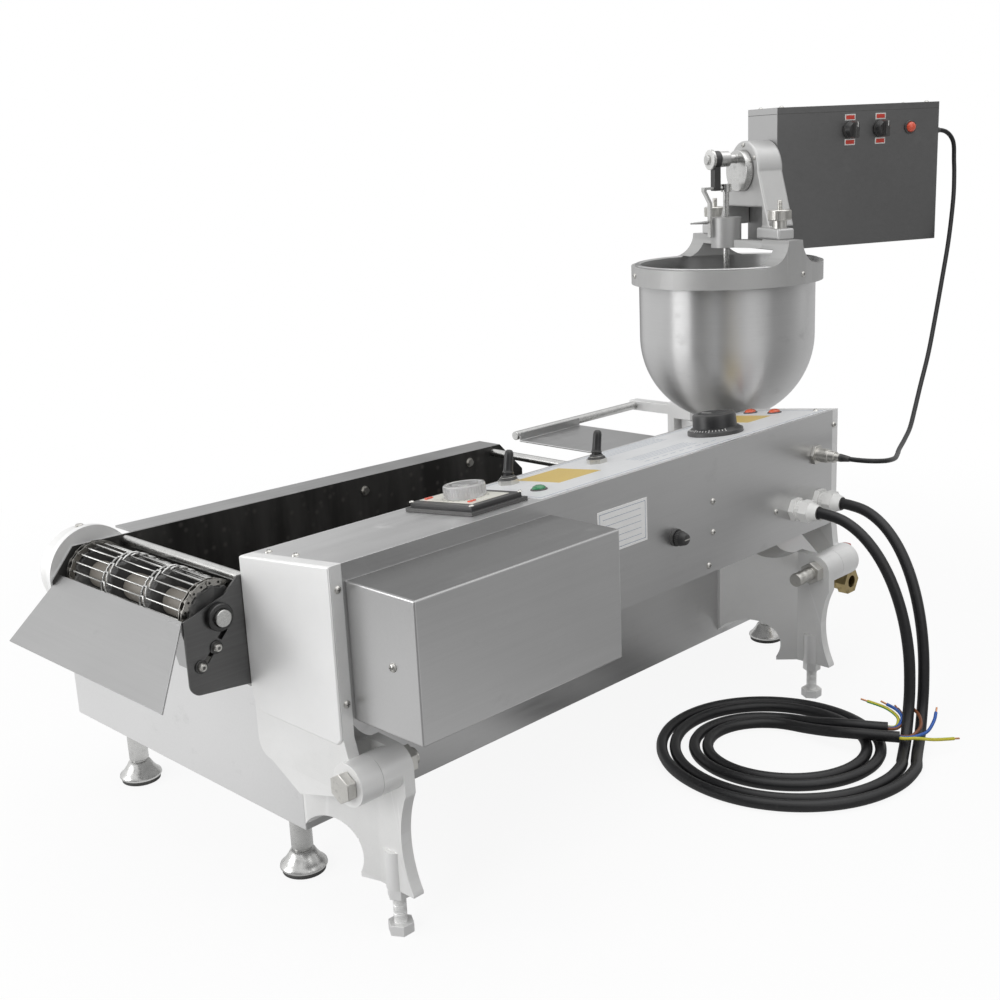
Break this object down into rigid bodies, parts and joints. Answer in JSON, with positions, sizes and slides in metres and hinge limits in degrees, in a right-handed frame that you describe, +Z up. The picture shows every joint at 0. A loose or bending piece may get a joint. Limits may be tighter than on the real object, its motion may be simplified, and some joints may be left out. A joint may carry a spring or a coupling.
{
  "type": "donut fryer",
  "caption": "Countertop donut fryer: oil tank on feet, hinged control head with wire outfeed belt and chute, and a swivelling dough hopper with a crank-driven plunger.",
  "frame": {"origin": "centre of the machine without its cords, on the table", "axes": "+X from the outfeed chute to the hopper, +Y from the operator to the far side, +Z up"},
  "size_m": [1.2892, 0.7451, 0.726],
  "materials": {
    "sheet_steel": "brushed sheet",
    "dark_sheet": "brushed sheet",
    "turned_steel": "turned",
    "cast_aluminium": "cast satin",
    "brass": "satin",
    "red_grip": "dipped",
    "black_plastic": "moulded",
    "ivory_plastic": "moulded",
    "white_plastic": "moulded",
    "green_lens": "lens",
    "orange_lens": "lens",
    "red_lens": "lens",
    "boot_rubber": "matte",
    "black_metal": "blackened",
    "cord_jacket": "satin"
  },
  "bodies": {
    "base": {"tank_casing": "sheet_steel", "oil_pan": "sheet_steel", "foot_front_near": "turned_steel", "foot_front_far": "turned_steel", "foot_rear_near": "turned_steel", "foot_rear_far": "turned_steel", "leg_front": "cast_aluminium", "leg_rear": "cast_aluminium", "leg_screw_front": "turned_steel", "leg_screw_rear": "turned_steel", "hinge_bolt_front": "turned_steel", "hinge_bolt_rear": "turned_steel", "drain_valve": "brass", "hopper_post": "cast_aluminium", "stay_rod": "turned_steel", "mains_drop_front": "cord_jacket", "mains_drop_rear": "cord_jacket", "mains_loops": "cord_jacket"},
    "valve": {"valve_handle": "red_grip"},
    "head": {"end_plate_front": "cast_aluminium", "end_plate_rear": "cast_aluminium", "control_cover": "sheet_steel", "inner_wall": "sheet_steel", "motor_cover": "sheet_steel", "far_wall": "sheet_steel", "near_wall": "sheet_steel", "bearing_far": "cast_aluminium", "bearing_near": "cast_aluminium", "cross_tubes": "turned_steel", "rear_tray": "sheet_steel", "chute": "sheet_steel", "wire_belt": "turned_steel", "thermostat": "black_plastic", "toggle_nuts": "turned_steel", "lamp_green": "green_lens", "lamps_orange": "orange_lens", "fuse_holder": "black_plastic", "glands": "white_plastic", "lead_socket": "turned_steel"},
    "drive": {"drive_shaft": "turned_steel", "drive_sprockets": "black_plastic"},
    "tail": {"tail_shaft": "turned_steel"},
    "dial": {"dial_knob": "ivory_plastic"},
    "switch_front": {"toggle_front": "boot_rubber"},
    "switch_rear": {"toggle_rear": "boot_rubber"},
    "knob": {"speed_knob": "black_plastic"},
    "hopper": {"hopper_arm": "cast_aluminium", "bowl": "sheet_steel", "ring_yoke": "cast_aluminium", "gear_housing": "cast_aluminium", "thumb_nuts": "turned_steel", "motor_box": "dark_sheet", "box_lamp": "red_lens", "lead": "cord_jacket"},
    "crank": {"crank": "turned_steel"},
    "link": {"link": "black_metal", "strip_lever": "turned_steel"},
    "plunger": {"plunger": "turned_steel"},
    "selector_a": {"selector_left": "black_plastic"},
    "selector_b": {"selector_right": "black_plastic"}
  },
  "joints": [
    {"name": "head_tilt", "type": "hinge", "parent": "base", "child": "head", "pos_m": [-0.11718, -0.231, 0.168], "axis": [1, 0, 0], "range_deg": [0, 85], "deforming": ["mains_drop_front", "mains_drop_rear", "lead"]},
    {"name": "hopper_swivel", "type": "hinge", "parent": "base", "child": "hopper", "pos_m": [0.40782, 0.104, 0.277], "axis": [0, 0, 1], "range_deg": [0, 70], "deforming": ["lead"]},
    {"name": "crank_turn", "type": "hinge", "parent": "hopper", "child": "crank", "pos_m": [0.35295, -0.02145, 0.648], "axis": [0.9063, -0.4226, 0], "range_deg": [0, 180]},
    {"name": "link_swing", "type": "hinge", "parent": "crank", "child": "link", "pos_m": [0.32122, -0.00666, 0.664], "axis": [0.9063, -0.4226, 0], "range_deg": [-180, 0]},
    {"name": "plunger_slide", "type": "slide", "parent": "hopper", "child": "plunger", "axis": [0, 0, 1], "range_m": [-0.032, 0]},
    {"name": "drive_spin", "type": "hinge", "parent": "head", "child": "drive", "pos_m": [-0.54718, 0.027, 0.296], "axis": [0, 1, 0], "continuous": true},
    {"name": "tail_spin", "type": "hinge", "parent": "head", "child": "tail", "pos_m": [-0.33718, 0.027, 0.16], "axis": [0, 1, 0], "continuous": true},
    {"name": "front_toggle", "type": "hinge", "parent": "head", "child": "switch_front", "pos_m": [-0.19718, -0.11215, 0.35684], "axis": [0, 0.9943, -0.1063], "range_deg": [-28, 0]},
    {"name": "rear_toggle", "type": "hinge", "parent": "head", "child": "switch_rear", "pos_m": [-0.07918, -0.13315, 0.35908], "axis": [0, 0.9943, -0.1063], "range_deg": [-28, 0]},
    {"name": "speed_turn", "type": "hinge", "parent": "head", "child": "knob", "pos_m": [0.10682, -0.15815, 0.36176], "axis": [0, 0.1063, 0.9943], "range_deg": [0, 280]},
    {"name": "dial_turn", "type": "hinge", "parent": "head", "child": "dial", "pos_m": [-0.29518, -0.14972, 0.36488], "axis": [0, 0.1063, 0.9943], "range_deg": [0, 270]},
    {"name": "selector_turn_a", "type": "hinge", "parent": "hopper", "child": "selector_a", "pos_m": [0.4837, -0.1078, 0.694], "axis": [-0.4226, -0.9063, 0], "range_deg": [0, 90]},
    {"name": "selector_turn_b", "type": "hinge", "parent": "hopper", "child": "selector_b", "pos_m": [0.52721, -0.12809, 0.694], "axis": [-0.4226, -0.9063, 0], "range_deg": [0, 90]},
    {"name": "valve_turn", "type": "hinge", "parent": "base", "child": "valve", "pos_m": [0.32882, -0.175, 0.145], "axis": [0, 0, 1], "range_deg": [-90, 0]}
  ],
  "couplings": [
    {"joint": "link_swing", "follows": "crank_turn", "ratio": -1},
    {"joint": "plunger_slide", "follows": "crank_turn", "m_per_rad": -0.010186},
    {"joint": "tail_spin", "follows": "drive_spin", "ratio": 1}
  ]
}
